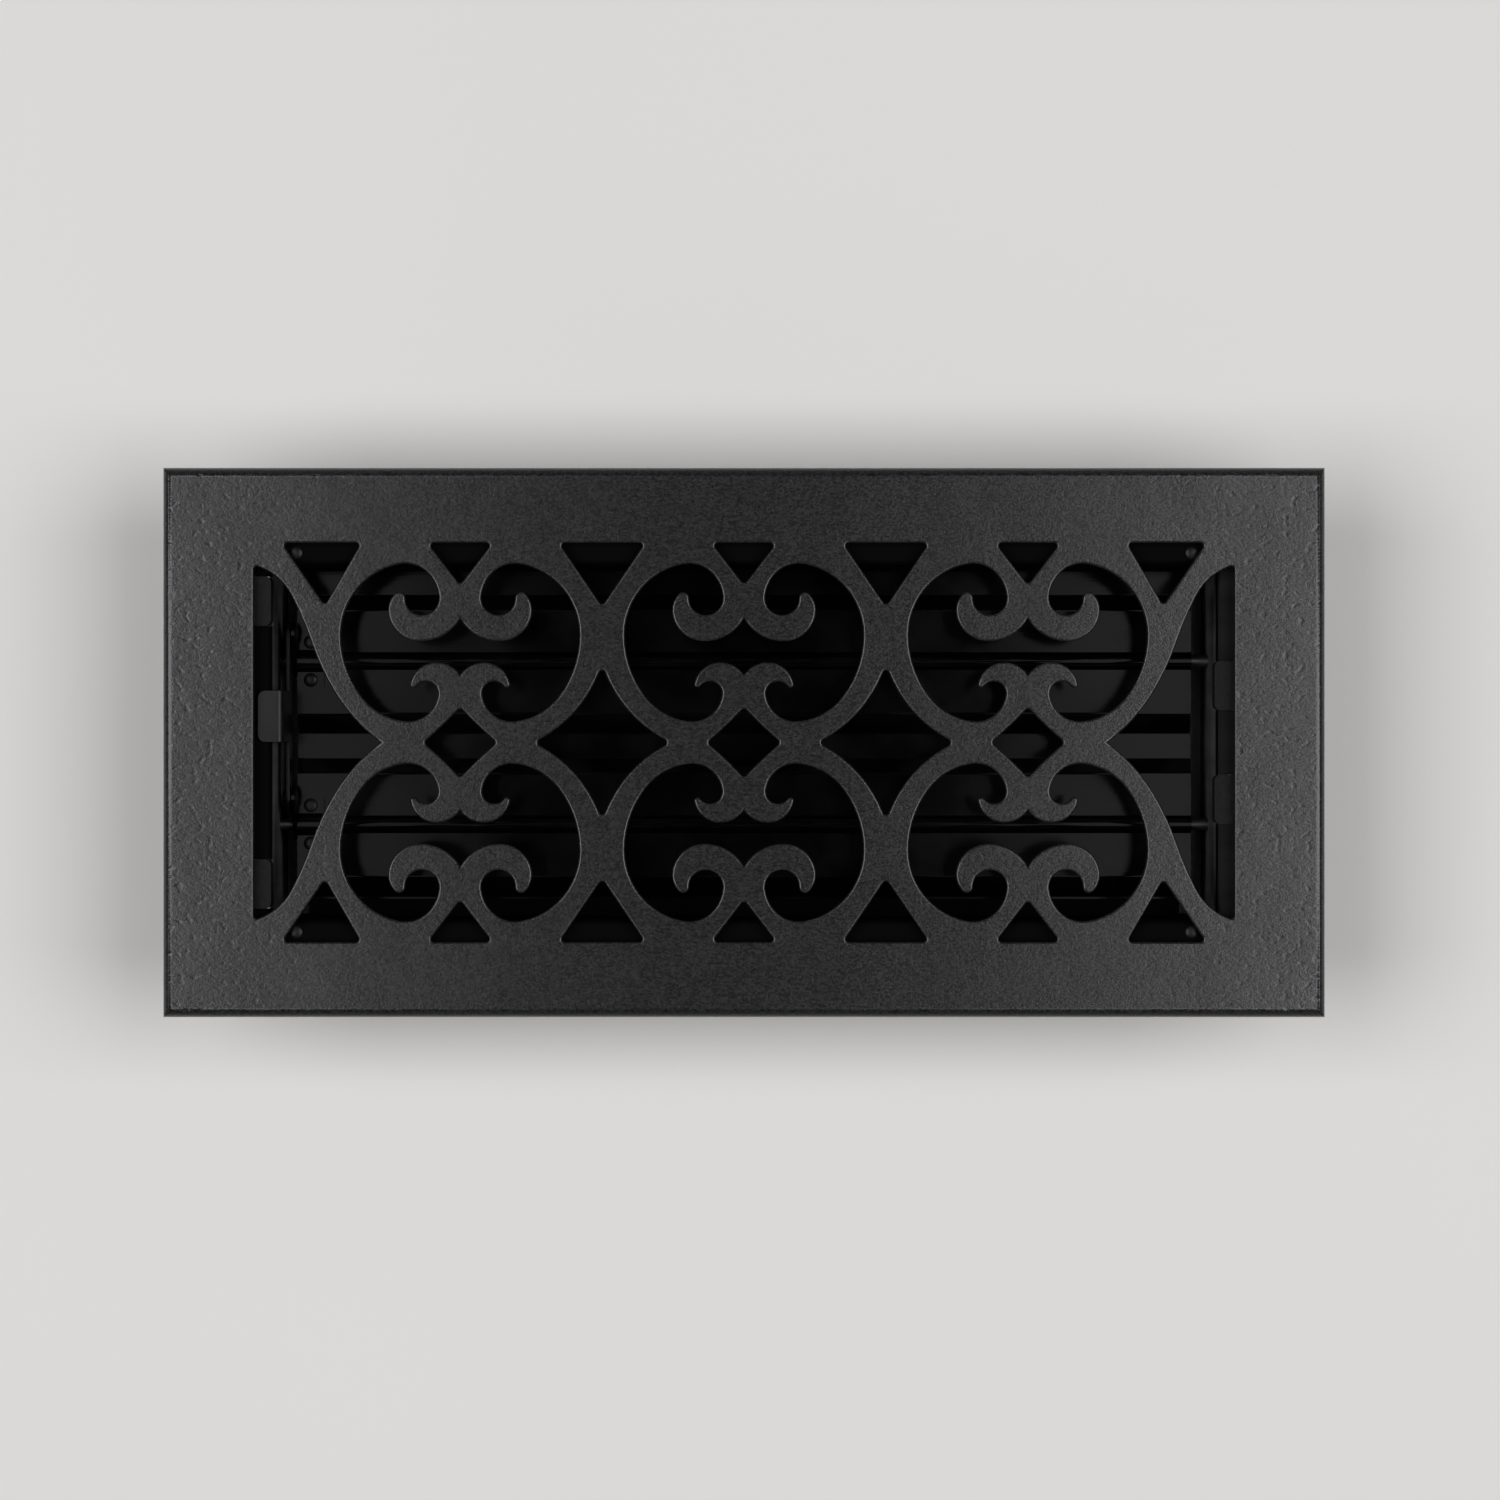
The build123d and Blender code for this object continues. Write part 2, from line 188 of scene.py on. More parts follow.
def placed_copies(
    piece: bpy.types.Object, places: Iterable[Vector], axis: Axis
) -> list[bpy.types.Object]:
    """Copy a modelled piece to its places and remove the first.

    Args:
        piece: the piece, modelled about the origin and pointing up.
        places: where the piece's origin goes.
        axis: the way that the copies point.

    Returns:
        The copies, each with its own mesh and its place in it.
    """
    copies = []
    for place in places:
        copy = piece.copy()
        copy.data = piece.data.copy()
        bpy.context.scene.collection.objects.link(copy)
        copy.rotation_euler = axis.value
        copy.location = place
        activate(copy)
        bpy.ops.object.transform_apply(location=True, rotation=True, scale=True)
        copies.append(copy)
    bpy.data.objects.remove(piece)
    return copies


def pick_points(piece: bpy.types.Object, wanted: Callable[[Vector], bool]) -> None:
    """Select the points of a piece that pass a test, and nothing else, and stay in edit mode.

    Args:
        piece: the piece.
        wanted: tells from a point's place whether it is selected.
    """
    activate(piece)
    bpy.ops.object.mode_set(mode="EDIT")
    bpy.ops.mesh.select_all(action="DESELECT")
    bpy.ops.object.mode_set(mode="OBJECT")
    for point in piece.data.vertices:
        point.select = wanted(point.co)
    bpy.ops.object.mode_set(mode="EDIT")


@dataclass(frozen=True)
class EdgeRounding:
    """How far, in how many steps, from which angle and above which height edges are rounded."""

    width: float
    steps: int
    sharp_degrees: float
    low: float

    def pick_edges(self, piece: bpy.types.Object) -> None:
        """Select a piece's sharp edges above the height, and stay in edit mode."""
        bpy.ops.mesh.select_mode(type="EDGE")
        bpy.ops.mesh.select_all(action="DESELECT")
        bpy.ops.mesh.edges_select_sharp(sharpness=math.radians(self.sharp_degrees))
        bpy.ops.object.mode_set(mode="OBJECT")
        points = piece.data.vertices
        for part in [*piece.data.polygons, *points]:
            part.select = False
        for edge in piece.data.edges:
            high = all(points[end].co.z > self.low for end in edge.vertices)
            edge.select = edge.select and high
        bpy.ops.object.mode_set(mode="EDIT")

    def rounded_copy(self, node: str, name: str) -> bpy.types.Object:
        """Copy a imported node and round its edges.

        Args:
            node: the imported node.
            name: the name of the new piece.

        Returns:
            The rounded piece, in the node's place.
        """
        piece = bpy.data.objects.new(name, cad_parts[node].data.copy())
        bpy.context.scene.collection.objects.link(piece)
        piece.data.materials.clear()
        activate(piece)
        bpy.ops.mesh.customdata_custom_splitnormals_clear()
        bpy.ops.object.mode_set(mode="EDIT")
        bpy.ops.mesh.select_all(action="SELECT")
        bpy.ops.mesh.remove_doubles(threshold=NODE_WELD)
        bpy.ops.mesh.dissolve_limited(angle_limit=math.radians(FLAT_DEGREES))
        self.pick_edges(piece)
        bpy.ops.mesh.bevel(
            offset=self.width,
            segments=self.steps,
            clamp_overlap=False,
            loop_slide=False,
            miter_outer="SHARP",
        )
        bpy.ops.mesh.select_mode(type="VERT")
        bpy.ops.object.mode_set(mode="OBJECT")
        smooth(piece, ROUNDED_DEGREES)
        shading = piece.modifiers.new("shading", "WEIGHTED_NORMAL")
        shading.keep_sharp = True
        shading.weight = LARGE_FACE_WEIGHT
        apply_modifier(piece, shading)
        return piece


def settle(piece: bpy.types.Object, body: Body, nodes: Sequence[str]) -> None:
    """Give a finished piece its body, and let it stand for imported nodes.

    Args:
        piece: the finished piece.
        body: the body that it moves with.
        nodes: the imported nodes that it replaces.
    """
    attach(piece, body.value)
    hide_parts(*nodes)
    log.info("%s rides on %s, %d faces", piece.name, body.value, len(piece.data.polygons))


def paint(piece: bpy.types.Object, material: bpy.types.Material) -> None:
    """Put one material on every slot of a piece."""
    if not piece.material_slots:
        piece.data.materials.append(material)
    for material_slot in piece.material_slots:
        material_slot.material = material


def paint_node(node: str, material: bpy.types.Material) -> None:
    """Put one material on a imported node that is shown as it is."""
    paint(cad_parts[node], material)
    log.info("%s is shown as packed, in %s", node, material.name)


class Graph:
    """A material's node tree, with short calls to add and join nodes."""

    MIX_FIRST = 6
    MIX_SECOND = 7
    MIX_RESULT = 2

    def __init__(self, name: str) -> None:
        """Start a material with a Principled shader on Object coordinates."""
        self.material = bpy.data.materials.new(name)
        self.material.use_nodes = True
        self.tree = self.material.node_tree
        self.shader = self.tree.nodes["Principled BSDF"]
        self.place = self.add("ShaderNodeTexCoord").outputs["Object"]

    def add(self, kind: str, **settings: object) -> bpy.types.Node:
        """Add a node and set its properties."""
        node = self.tree.nodes.new(kind)
        for name, value in settings.items():
            setattr(node, name, value)
        return node

    def feed(self, target: bpy.types.NodeSocket, value: object) -> None:
        """Join a socket to another, or set it to a plain value."""
        if isinstance(value, bpy.types.NodeSocket):
            self.tree.links.new(value, target)
        else:
            target.default_value = value

    def dress(self, **inputs: object) -> None:
        """Feed the shader's inputs, named with low lines in place of spaces."""
        for name, value in inputs.items():
            self.feed(self.shader.inputs[name.replace("_", " ")], value)

    def stretched(self, scale: Scale) -> bpy.types.NodeSocket:
        """Give Object coordinates stretched by a factor along each axis."""
        mapping = self.add("ShaderNodeMapping")
        self.feed(mapping.inputs["Vector"], self.place)
        mapping.inputs["Scale"].default_value = scale
        return mapping.outputs["Vector"]

    def noise(self, scale: float | Scale, detail: float) -> bpy.types.NodeSocket:
        """Give noise from 0 to 1.

        Args:
            scale: how many grains there are in a metre, or in a metre along each axis.
            detail: how many finer layers there are.

        Returns:
            The noise value.
        """
        stretch = isinstance(scale, tuple)
        place = self.stretched(scale) if stretch else self.place
        node = self.add("ShaderNodeTexNoise")
        self.feed(node.inputs["Vector"], place)
        node.inputs["Scale"].default_value = 1.0 if stretch else scale
        node.inputs["Detail"].default_value = detail
        return node.outputs["Fac"]

    def cells(self, scale: float) -> bpy.types.NodeSocket:
        """Give the distance from the middle of the nearest cell."""
        node = self.add("ShaderNodeTexVoronoi", feature="F1")
        self.feed(node.inputs["Vector"], self.place)
        node.inputs["Scale"].default_value = scale
        return node.outputs["Distance"]

    def span(self, value: object, source: Range, target: Range) -> bpy.types.NodeSocket:
        """Map a value from one range to another, and hold it there.

        Args:
            value: the value to map.
            source: where the first range starts and ends.
            target: what its start and its end become.

        Returns:
            The mapped value.
        """
        node = self.add("ShaderNodeMapRange")
        for index, number in enumerate((value, *source, *target)):
            self.feed(node.inputs[index], number)
        return node.outputs["Result"]

    def math(self, operation: str, first: object, second: object = 0.0) -> bpy.types.NodeSocket:
        """Work out one operation on one or two values."""
        node = self.add("ShaderNodeMath", operation=operation)
        self.feed(node.inputs[0], first)
        self.feed(node.inputs[1], second)
        return node.outputs["Value"]

    def blend(self, share: object, first: Colour, second: Colour) -> bpy.types.NodeSocket:
        """Blend two colours by a share from 0 to 1."""
        node = self.add("ShaderNodeMix", data_type="RGBA")
        self.feed(node.inputs["Factor"], share)
        node.inputs[self.MIX_FIRST].default_value = (*first, 1)
        node.inputs[self.MIX_SECOND].default_value = (*second, 1)
        return node.outputs[self.MIX_RESULT]

    def side(self, axis: str) -> bpy.types.NodeSocket:
        """Give one of the Object coordinates."""
        node = self.add("ShaderNodeSeparateXYZ")
        self.feed(node.inputs["Vector"], self.place)
        return node.outputs[axis]

    def from_middle(self, axis: str) -> bpy.types.NodeSocket:
        """Give the distance from the register's middle along an axis."""
        return self.math("ABSOLUTE", self.side(axis))

    def bump(self, height: bpy.types.NodeSocket, distance: float) -> None:
        """Raise the shader's surface by a height from 0 to 1, over a real distance."""
        node = self.add("ShaderNodeBump")
        self.feed(node.inputs["Height"], height)
        node.inputs["Distance"].default_value = distance
        self.dress(Normal=node.outputs["Normal"])


@dataclass(frozen=True)
class CastIron:
    """Satin black coat over sand-cast iron: grain, orange peel, and pits towards both ends."""

    dark: Colour = (0.005, 0.005, 0.0051)
    pale: Colour = (0.022, 0.022, 0.0222)
    grain: float = 2600.0
    grain_height: float = 0.2
    peel: Scale = (1000.0, 1700.0, 1000.0)
    peel_height: float = 0.2
    swell: float = 40.0
    detail: float = 2.0
    pit: Scale = (520.0, 700.0, 520.0)
    pit_noise: Range = (0.6, 0.84)
    pit_reach: Range = (0.09, 0.146)
    pit_share: Range = (0.1, 1.0)
    pit_depth: float = 0.24
    relief: float = 0.00016
    speckle: Range = (0.37, 0.63)
    rough: Range = (0.13, 0.18)

    def make(self) -> bpy.types.Material:
        """Make the material.

        Returns:
            The finished material.
        """
        graph = Graph(Slot.CAST_IRON.value)
        grain = graph.noise(self.grain, self.detail)
        peel = graph.noise(self.peel, self.detail)
        swell = graph.noise(self.swell, self.detail)
        pits = graph.span(graph.noise(self.pit, 0.0), self.pit_noise, RISE)
        at_ends = graph.span(graph.from_middle("X"), self.pit_reach, self.pit_share)
        fine = graph.math("MULTIPLY", grain, self.grain_height)
        coarse = graph.math("MULTIPLY", peel, self.peel_height)
        height = graph.math("ADD", graph.math("ADD", fine, coarse), swell)
        depth = graph.math("MULTIPLY", pits, graph.math("MULTIPLY", at_ends, self.pit_depth))
        graph.bump(graph.math("SUBTRACT", height, depth), self.relief)
        mean = graph.math("MULTIPLY", graph.math("ADD", grain, peel), 0.5)
        speckle = graph.span(mean, self.speckle, RISE)
        graph.dress(
            Base_Color=graph.blend(speckle, self.dark, self.pale),
            Roughness=graph.span(peel, COMMON_NOISE, self.rough),
        )
        return graph.material


@dataclass(frozen=True)
class ShadedUnderside:
    """A darker, duller casting surface under the face and on its lugs, as painted shade."""

    dark: Colour = (0.003, 0.003, 0.003)
    pale: Colour = (0.009, 0.0088, 0.0085)
    sand: float = 900.0
    detail: float = 4.0
    relief: float = 0.0002
    rough: Range = (0.5, 0.7)
    shine: float = 0.12

    def make(self) -> bpy.types.Material:
        """Make the material.

        Returns:
            The finished material.
        """
        graph = Graph("shaded_cast_iron")
        sand = graph.noise(self.sand, self.detail)
        graph.bump(sand, self.relief)
        graph.dress(
            Base_Color=graph.blend(sand, self.dark, self.pale),
            Roughness=graph.span(sand, COMMON_NOISE, self.rough),
            Specular_IOR_Level=self.shine,
        )
        return graph.material


@dataclass(frozen=True)
class SheetPaint:
    """Thin black paint on rolled sheet, with faint rolling lines along X and settled dust."""

    name: str = Slot.SHEET_STEEL.value
    dark: Colour = (0.0008, 0.0008, 0.0009)
    lighter: Colour = (0.0022, 0.0022, 0.0022)
    rough: Range = (0.11, 0.17)
    shine: float = 0.2
    lines: Scale = (5.0, 420.0, 420.0)
    line_detail: float = 2.0
    relief: float = 0.00002
    dust: float = 70.0
    dust_detail: float = 5.0
    dust_noise: Range = (0.42, 0.72)

    def make(self) -> bpy.types.Material:
        """Make the material.

        Returns:
            The finished material.
        """
        graph = Graph(self.name)
        graph.bump(graph.noise(self.lines, self.line_detail), self.relief)
        dust = graph.span(graph.noise(self.dust, self.dust_detail), self.dust_noise, RISE)
        graph.dress(
            Base_Color=graph.blend(dust, self.dark, self.lighter),
            Roughness=graph.span(dust, RISE, self.rough),
            Specular_IOR_Level=self.shine,
        )
        return graph.material


@dataclass(frozen=True)
class WallPaint:
    """Dull black paint on the folded walls.

    A lighter colour lies inside the end walls, below the fold: painted light from the side lamps,
    with streaks of dust in it. The flange away from the lever gets painted light too. Dust lies
    thinly outside.
    """

    dark: Colour = (0.0014, 0.0014, 0.0014)
    # the lighter colour stands for painted light on the end walls and flange, mixed with dust
    lighter: Colour = (0.1, 0.1, 0.098)
    fold_z: Range = (-0.004, -0.001)
    inside_x: Range = (0.118, 0.1208)
    outside_y: float = 0.0454
    outside_share: float = 0.3
    # painted light: how much lighter the flange away from the lever is made, as if lit
    lit_flange_share: float = 0.13
    streak: Scale = (60.0, 240.0, 12.0)
    streak_detail: float = 3.0
    streak_noise: Range = (0.25, 0.75)
    streak_share: Range = (0.55, 1.0)
    relief: float = 0.00003
    roughness: float = 0.55
    shine: float = 0.02

    def dust_and_light_share(self, graph: Graph) -> bpy.types.NodeSocket:
        """Work out how much of the lighter colour each place gets, as painted light and dust.

        Args:
            graph: the node tree to work it out in.

        Returns:
            The share, from 0 to 1.
        """
        start, end = self.inside_x
        along = graph.from_middle("X")
        # inside the end walls, below the fold: painted light from the side lamps, with dust
        beyond = graph.math("GREATER_THAN", along, start)
        inside = graph.math("MULTIPLY", beyond, graph.math("LESS_THAN", along, end))
        past_end = graph.math("GREATER_THAN", along, end)
        past_side = graph.math("GREATER_THAN", graph.from_middle("Y"), self.outside_y)
        outside = graph.math("MAXIMUM", past_end, past_side)
        outside = graph.math("MULTIPLY", outside, self.outside_share)
        upright = graph.span(graph.side("Z"), self.fold_z, FALL)
        on_walls = graph.math("MULTIPLY", graph.math("MAXIMUM", inside, outside), upright)
        # painted light: the flange away from the lever is made lighter
        flange = graph.math("GREATER_THAN", graph.side("X"), end)
        lit_flange = graph.math("MULTIPLY", flange, self.lit_flange_share)
        return graph.math("MAXIMUM", on_walls, lit_flange)

    def make(self) -> bpy.types.Material:
        """Make the material.

        Returns:
            The finished material.
        """
        graph = Graph("dull_sheet_steel")
        streak = graph.noise(self.streak, self.streak_detail)
        graph.bump(streak, self.relief)
        streaks = graph.span(streak, self.streak_noise, self.streak_share)
        # this share holds painted light as well as dust streaks
        dust = graph.math("MULTIPLY", self.dust_and_light_share(graph), streaks)
        graph.dress(
            Base_Color=graph.blend(dust, self.dark, self.lighter),
            Roughness=self.roughness,
            Specular_IOR_Level=self.shine,
        )
        return graph.material


@dataclass(frozen=True)
class ZincPlate:
    """Dull zinc plate with small crystals and cloudy patches."""

    dull: Colour = (0.1, 0.1, 0.102)
    bright: Colour = (0.22, 0.22, 0.217)
    crystal: float = 1100.0
    relief: float = 0.00002
    cloud: float = 260.0
    cloud_detail: float = 3.0
    rough: Range = (0.5, 0.3)

    def make(self) -> bpy.types.Material:
        """Make the material.

        Returns:
            The finished material.
        """
        graph = Graph(Slot.ZINC_STEEL.value)
        graph.bump(graph.cells(self.crystal), self.relief)
        cloud = graph.noise(self.cloud, self.cloud_detail)
        graph.dress(
            Base_Color=graph.blend(cloud, self.dull, self.bright),
            Roughness=graph.span(cloud, COMMON_NOISE, self.rough),
            Metallic=1.0,
        )
        return graph.material


@dataclass(frozen=True)
class PaleFloor:
    """A plain pale matt floor."""

    low: Colour = (0.76, 0.75, 0.735)
    high: Colour = (0.8, 0.79, 0.775)
    cloud: float = 3.0
    cloud_detail: float = 2.0
    roughness: float = 0.9

    def make(self) -> bpy.types.Material:
        """Make the material.

        Returns:
            The finished material.
        """
        graph = Graph("pale_floor")
        cloud = graph.noise(self.cloud, self.cloud_detail)
        graph.dress(
            Base_Color=graph.blend(cloud, self.low, self.high),
            Roughness=self.roughness,
        )
        return graph.material


@dataclass
class FaceCasting:
    """The pierced face casting, with the rounded upper edges of a sand casting."""

    coat: bpy.types.Material
    # painted shade: the darker, duller material for the face's underside and lugs
    shaded_underside: bpy.types.Material
    edges: EdgeRounding = EdgeRounding(width=0.00055, steps=3, sharp_degrees=40.0, low=0.0045)
    coat_low: float = 0.0031
    rim_share_x: float = 0.97
    rim_share_y: float = 0.95
    lug_y: tuple[float, float] = (0.036, 0.0145)
    lug_reach: Range = (0.1187, 0.1271)
    lug_half_width: float = 0.0066
    lug_top: float = 0.0027
    lug_swell: float = 1.045
    lug_middle: float = 0.1229
    lug_fill: float = 0.00095

    def build(self) -> bpy.types.Object:
        """Make the face with rounded edges.

        Returns:
            The face piece.
        """
        piece = self.edges.rounded_copy("face_grille", "face_casting")
        for end, lug_y in zip((-1, 1), self.lug_y):
            for side in (-1, 1):
                self.fit_lug(piece, end, side * lug_y)
        settle(piece, Body.REGISTER, ["face_grille"])
        return piece

    def fit_lug(self, piece: bpy.types.Object, end: int, lug_y: float) -> None:
        """Let one lug fill its notch in the box's flange.

        Args:
            piece: the face piece.
            end: -1 for the lever end, or 1 for the other end.
            lug_y: the lug's middle across the face.
        """

        def on_lug(point: Vector) -> bool:
            """Tell whether a point is on this lug."""
            along = self.lug_reach[0] < end * point.x < self.lug_reach[1]
            across = abs(point.y - lug_y) < self.lug_half_width
            return along and across and point.z < self.lug_top

        pick_points(piece, on_lug)
        bpy.ops.transform.resize(value=(1, self.lug_swell, 1), center_override=(0, lug_y, 0))
        if end < 0:
            pick_points(piece, lambda point: on_lug(point) and point.x > -self.lug_middle)
            bpy.ops.transform.translate(value=(self.lug_fill, 0, 0))
        bpy.ops.object.mode_set(mode="OBJECT")

    def dress(self, piece: bpy.types.Object) -> None:
        """Coat the face above its recess, and give the rest a darker, duller surface as painted
        shade.
        """
        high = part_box("face_grille")[1]
        rim_x, rim_y = self.rim_share_x * high.x, self.rim_share_y * high.y
        piece.data.materials.append(self.coat)
        piece.data.materials.append(self.shaded_underside)
        for polygon in piece.data.polygons:
            centre = polygon.center
            on_rim = abs(centre.x) > rim_x or abs(centre.y) > rim_y
            # faces below the coat and away from the rim get the painted shade
            polygon.material_index = 0 if on_rim or centre.z > self.coat_low else 1


@dataclass(frozen=True)
class Rivet:
    """A rivet with a domed head at each end."""

    head_radius: float
    head_height: float
    shank_radius: float
    rim_share: float = 0.25
    dome_steps: int = 5
    dome_degrees: float = 80.0
    smooth_degrees: float = 35.0

    def dome(self, foot: float, way: int) -> list[tuple[float, float]]:
        """Work out a domed head's profile.

        Args:
            foot: the height of the head's flat side.
            way: 1 for a head that rises, or -1 for one that hangs.

        Returns:
            The radius and height of each step, from the rim to the crown.
        """
        rim = self.rim_share * self.head_height
        crown = math.radians(self.dome_degrees)
        steps = [(self.head_radius, foot)]
        for step in range(self.dome_steps):
            turn = crown * step / (self.dome_steps - 1)
            rise = rim + (self.head_height - rim) * math.sin(turn) / math.sin(crown)
            steps.append((self.head_radius * math.cos(turn), foot + way * rise))
        return steps

    def build(self, length: float) -> bpy.types.Object:
        """Model the rivet, standing on z = 0.

        Args:
            length: its length over both heads.

        Returns:
            The rivet, at the origin.
        """
        ends = (self.head_height, length - self.head_height)
        lower = self.dome(ends[0], -1)
        upper = self.dome(ends[1], 1)
        shank = [(self.shank_radius, height) for height in ends]
        rivet = turned([*reversed(lower), *shank, *upper])
        smooth(rivet, self.smooth_degrees)
        return rivet


SHEET_RIVET = Rivet(head_radius=0.0018, head_height=0.0007, shank_radius=0.0011)
LINK_RIVET = Rivet(head_radius=0.0022, head_height=0.0007, shank_radius=0.0012)


@dataclass(frozen=True)
class Screw:
    """A slotted pan-head screw, with its head down and a rolled thread."""

    head_radius: float = 0.0025
    head_height: float = 0.0019
    head_shares: Profile = (
        (0.72, 0.0), (0.88, 0.1), (0.97, 0.32), (1.0, 0.55), (1.0, 0.9), (0.97, 1.0)
    )
    shank_radius: float = 0.0014
    pitch: float = 0.001
    thread_depth: float = 0.0002
    tip_share: float = 0.7
    slot_width: float = 0.0007
    slot_depth: float = 0.0009
    smooth_degrees: float = 35.0

    def profile(self, length: float) -> list[tuple[float, float]]:
        """Work out the outline from the head's flat end to the tip.

        Args:
            length: the screw's length over all.

        Returns:
            The radius and height of each step.
        """
        steps = [(self.head_radius * r, self.head_height * h) for r, h in self.head_shares]
        root = self.shank_radius - self.thread_depth
        height = self.head_height
        steps.append((root, height))
        while height + self.pitch < length:
            steps.append((self.shank_radius, height + self.pitch / 2))
            steps.append((root, height + self.pitch))
            height += self.pitch
        steps.append((root * self.tip_share, length))
        return steps

    def build(self, length: float) -> bpy.types.Object:
        """Model the screw, standing on its head at z = 0.

        Args:
            length: the screw's length over all.

        Returns:
            The screw, at the origin.
        """
        screw = turned(self.profile(length))
        deselect_all()
        bpy.ops.mesh.primitive_cube_add(size=1)
        cutter = bpy.context.active_object
        cutter.scale = (3 * self.head_radius, self.slot_width, 2 * self.slot_depth)
        bpy.ops.object.transform_apply(location=True, rotation=True, scale=True)
        slot_cut = screw.modifiers.new("slot", "BOOLEAN")
        slot_cut.operation = "DIFFERENCE"
        slot_cut.object = cutter
        apply_modifier(screw, slot_cut)
        bpy.data.objects.remove(cutter)
        smooth(screw, self.smooth_degrees)
        return screw


@dataclass(frozen=True)
class RodCap:
    """A push-on cap for a rod's end: a dished spring washer with a raised collar."""

    hole_radius: float = 0.00153
    collar_radius: float = 0.0023
    collar_foot: float = 1.15
    smooth_degrees: float = 50.0

    def build(self, radius: float, thickness: float) -> bpy.types.Object:
        """Model the cap, with its flat side on z = 0.

        Args:
            radius: the outer radius.
            thickness: the height over all.

        Returns:
            The cap, at the origin.
        """
        outline = [
            (self.hole_radius, 0.3),
            (self.collar_radius, 0.12),
            (0.8 * radius, 0.0),
            (0.96 * radius, 0.04),
            (radius, 0.2),
            (0.97 * radius, 0.42),
            (0.8 * radius, 0.6),
            (self.collar_radius * self.collar_foot, 0.8),
            (self.collar_radius, 1.0),
            (self.hole_radius, 0.92),
        ]
        cap = turned([(across, share * thickness) for across, share in outline], ring=True)
        smooth(cap, self.smooth_degrees)
        return cap


@dataclass
class DamperBox:
    """The folded sheet box under the face, with its corner rivets and fixing screws."""

    rivet_paint: bpy.types.Material
    wall_paint: bpy.types.Material
    zinc: bpy.types.Material
    walls: tuple[str, ...] = (
        "side_wall_rear", "side_wall_front", "end_wall_left", "end_wall_right"
    )
    rivet: Rivet = SHEET_RIVET
    screw: Screw = Screw()
    right_screw_y: float = 0.0145

    def dress(self) -> None:
        """Paint the four walls."""
        for wall in self.walls:
            paint_node(wall, self.wall_paint)

    def build_rivets(self) -> None:
        """Model the rivets through the corner flanges."""
        low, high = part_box("corner_rivets")
        reach = high - Vector((self.rivet.head_radius, self.rivet.head_radius, 0))
        places = [Vector((sx * reach.x, sy * reach.y, low.z)) for sx in (-1, 1) for sy in (-1, 1)]
        rivets = placed_copies(self.rivet.build(high.z - low.z), places, Axis.UP)
        piece = join(rivets, "corner_rivet_set")
        paint(piece, self.rivet_paint)
        settle(piece, Body.REGISTER, ["corner_rivets"])

    def build_screws(self) -> None:
        """Model the screws that hold the box's tabs to the face's lugs."""
        low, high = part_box("fixing_screws")
        reach_x = high.x - self.screw.head_radius
        left_y = high.y - self.screw.head_radius
        rows = ((-reach_x, left_y), (reach_x, self.right_screw_y))
        places = [Vector((x, side * y, low.z)) for x, y in rows for side in (-1, 1)]
        screws = placed_copies(self.screw.build(high.z - low.z), places, Axis.UP)
        piece = join(screws, "fixing_screw_set")
        paint(piece, self.zinc)
        settle(piece, Body.REGISTER, ["fixing_screws"])


@dataclass
class DamperBlade:
    """One damper blade with its rod, caps, crank, rivets and link pin."""

    side: str
    body: Body
    blade_paint: bpy.types.Material
    rivet_paint: bpy.types.Material
    zinc: bpy.types.Material
    rivet: Rivet = SHEET_RIVET
    pin: Rivet = LINK_RIVET
    cap: RodCap = RodCap()
    cap_thickness: float = 0.0008

    def dress(self) -> None:
        """Finish the blade, its crank and its rod."""
        paint_node(f"blade_{self.side}", self.blade_paint)
        paint_node(f"crank_{self.side}", self.blade_paint)
        paint_node(f"pivot_rod_{self.side}", self.zinc)

    def build_caps(self) -> None:
        """Model the push-on caps at the rod's ends."""
        node = f"rod_caps_{self.side}"
        low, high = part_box(node)
        middle = (low + high) / 2
        radius = (high.y - low.y) / 2
        thickness = self.cap_thickness
        caps = []
        for x, axis in ((high.x - thickness, Axis.RIGHT), (low.x + thickness, Axis.LEFT)):
            place = Vector((x, middle.y, middle.z))
            caps += placed_copies(self.cap.build(radius, thickness), [place], axis)
        piece = join(caps, f"rod_cap_pair_{self.side}")
        paint(piece, self.zinc)
        settle(piece, self.body, [node])

    def build_rivets(self) -> None:
        """Model the two rivets that hold the crank's saddle to the blade."""
        node = f"crank_rivets_{self.side}"
        low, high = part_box(node)
        inset = self.rivet.head_radius
        places = [Vector((low.x + inset, y, low.z)) for y in (low.y + inset, high.y - inset)]
        rivets = placed_copies(self.rivet.build(high.z - low.z), places, Axis.UP)
        piece = join(rivets, f"saddle_rivets_{self.side}")
        paint(piece, self.rivet_paint)
        settle(piece, self.body, [node])

    def build_pin(self) -> None:
        """Model the pin that the link turns on."""
        node = f"link_pin_{self.side}"
        low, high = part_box(node)
        middle = (low + high) / 2
        place = Vector((low.x, middle.y, middle.z))
        pins = placed_copies(self.pin.build(high.x - low.x), [place], Axis.RIGHT)
        piece = join(pins, f"link_rivet_{self.side}")
        paint(piece, self.rivet_paint)
        settle(piece, self.body, [node])


@dataclass
class ThumbLever:
    """The link bar with its thumb tab."""

    coat: bpy.types.Material
    edges: EdgeRounding = EdgeRounding(width=0.00018, steps=2, sharp_degrees=50.0, low=-0.1)

    def build(self) -> bpy.types.Object:
        """Make the lever with all its edges eased.

        Returns:
            The lever piece.
        """
        piece = self.edges.rounded_copy("lever_link", "thumb_lever")
        settle(piece, Body.LEVER, ["lever_link"])
        return piece

    def dress(self, piece: bpy.types.Object) -> None:
        """Paint the lever."""
        paint(piece, self.coat)


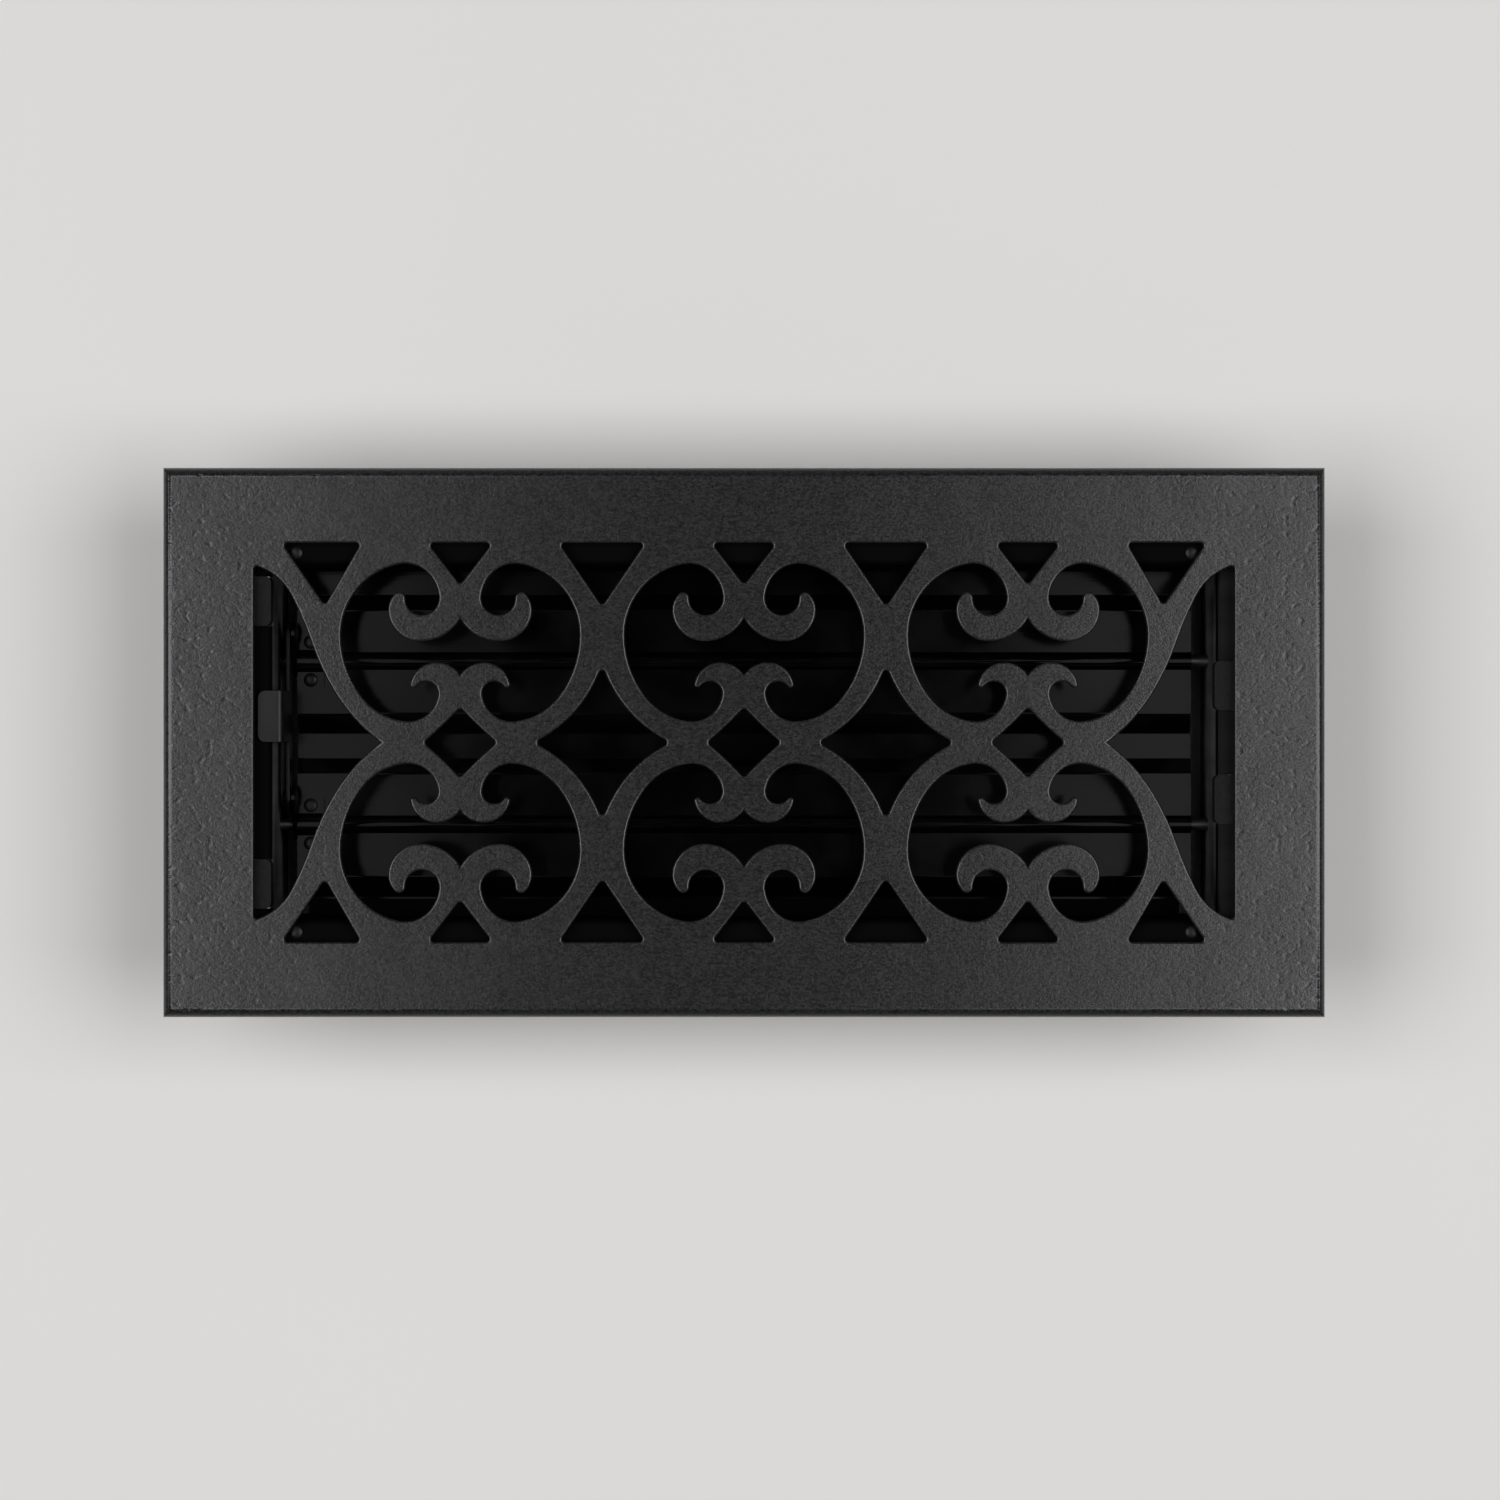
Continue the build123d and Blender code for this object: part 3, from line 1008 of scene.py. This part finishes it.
@dataclass(frozen=True)
class SoftBox:
    """A rectangular soft box that faces the register."""

    name: str
    x: float
    width: float
    power: float
    height: float = 1.6
    length: float = 1.2

    def build(self) -> None:
        """Hang the soft box."""
        lamp = bpy.data.lights.new(self.name, "AREA")
        lamp.shape = "RECTANGLE"
        lamp.size = self.width
        lamp.size_y = self.length
        lamp.energy = self.power
        holder = bpy.data.objects.new(self.name, lamp)
        bpy.context.scene.collection.objects.link(holder)
        holder.location = (self.x, 0, self.height)
        holder.rotation_euler = (0, math.atan2(self.x, self.height), 0)


@dataclass
class Studio:
    """A pale floor, soft boxes and dim panels beside the lens, a dome, and the camera."""

    image_pixels: float = 1500.0
    pixels_per_metre: float = 3940.0
    face_pixel: tuple[float, float] = (744.0, 742.5)
    camera_height: float = 1.3
    sensor: float = 36.0
    floor_size: float = 24.0
    lamps: tuple[SoftBox, ...] = (
        SoftBox("soft_box_left", x=-1.0, width=1.23, power=19.0),
        SoftBox("soft_box_right", x=0.98, width=1.26, power=19.0),
        SoftBox("inner_panel_left", x=-0.29, width=0.22, power=0.72),
        SoftBox("inner_panel_right", x=0.265, width=0.21, power=0.86),
    )
    dome_low: Colour = (0.3, 0.3, 0.3)
    dome_high: Colour = (0.012, 0.012, 0.012)
    dome_reach: float = 0.8

    def build_floor(self) -> None:
        """Lay the floor under the box."""
        deselect_all()
        bpy.ops.mesh.primitive_plane_add(size=self.floor_size, location=(0, 0, cad_box[0][2]))
        floor = bpy.context.active_object
        floor.name = "floor"
        bpy.ops.object.transform_apply(location=True, rotation=True, scale=True)
        paint(floor, PaleFloor().make())

    def build_dome(self) -> None:
        """Light the surroundings dimly, paler towards the horizon."""
        world = bpy.data.worlds.new("dome")
        world.use_nodes = True
        bpy.context.scene.world = world
        tree = world.node_tree
        place = tree.nodes.new("ShaderNodeTexCoord")
        parts = tree.nodes.new("ShaderNodeSeparateXYZ")
        ramp = tree.nodes.new("ShaderNodeValToRGB")
        horizon, top = ramp.color_ramp.elements
        horizon.color = (*self.dome_low, 1)
        top.color = (*self.dome_high, 1)
        top.position = self.dome_reach
        tree.links.new(place.outputs["Generated"], parts.inputs["Vector"])
        tree.links.new(parts.outputs["Z"], ramp.inputs["Fac"])
        tree.links.new(ramp.outputs["Color"], tree.nodes["Background"].inputs["Color"])

    def build_camera(self) -> None:
        """Hang the camera straight over the face, with +Y up in the picture."""
        lens = bpy.data.cameras.new("camera")
        width = self.image_pixels / self.pixels_per_metre
        lens.sensor_width = self.sensor
        lens.lens = self.sensor * self.camera_height / width
        camera = bpy.data.objects.new("camera", lens)
        bpy.context.scene.collection.objects.link(camera)
        middle = self.image_pixels / 2
        x = (middle - self.face_pixel[0]) / self.pixels_per_metre
        y = (self.face_pixel[1] - middle) / self.pixels_per_metre
        camera.location = (x, y, cad_box[1][2] + self.camera_height)
        bpy.context.scene.camera = camera

    def build(self) -> None:
        """Set up the whole studio."""
        self.build_floor()
        for lamp in self.lamps:
            lamp.build()
        self.build_dome()
        self.build_camera()
        bpy.context.scene.view_settings.view_transform = "Standard"


def main() -> None:
    """Build and dress the register, piece by piece."""
    logging.basicConfig(level=logging.INFO, format="%(name)s: %(message)s")
    iron = CastIron().make()
    sheet = SheetPaint().make()
    zinc = ZincPlate().make()
    dull_black = SheetPaint(
        "dull_black", dark=(0.003, 0.003, 0.003), lighter=(0.008, 0.008, 0.008), rough=(0.3, 0.42)
    ).make()

    # The face's underside and lugs are painted darker, as shade.
    face = FaceCasting(iron, ShadedUnderside().make())
    face.dress(face.build())

    box = DamperBox(dull_black, WallPaint().make(), zinc)
    box.dress()
    box.build_rivets()
    box.build_screws()

    for side, body in (("rear", Body.REAR_BLADE), ("front", Body.FRONT_BLADE)):
        blade = DamperBlade(side, body, sheet, dull_black, zinc)
        blade.dress()
        blade.build_caps()
        blade.build_rivets()
        blade.build_pin()

    lever = ThumbLever(dull_black)
    lever.dress(lever.build())
    Studio().build()


if __name__ == "__main__":
    main()
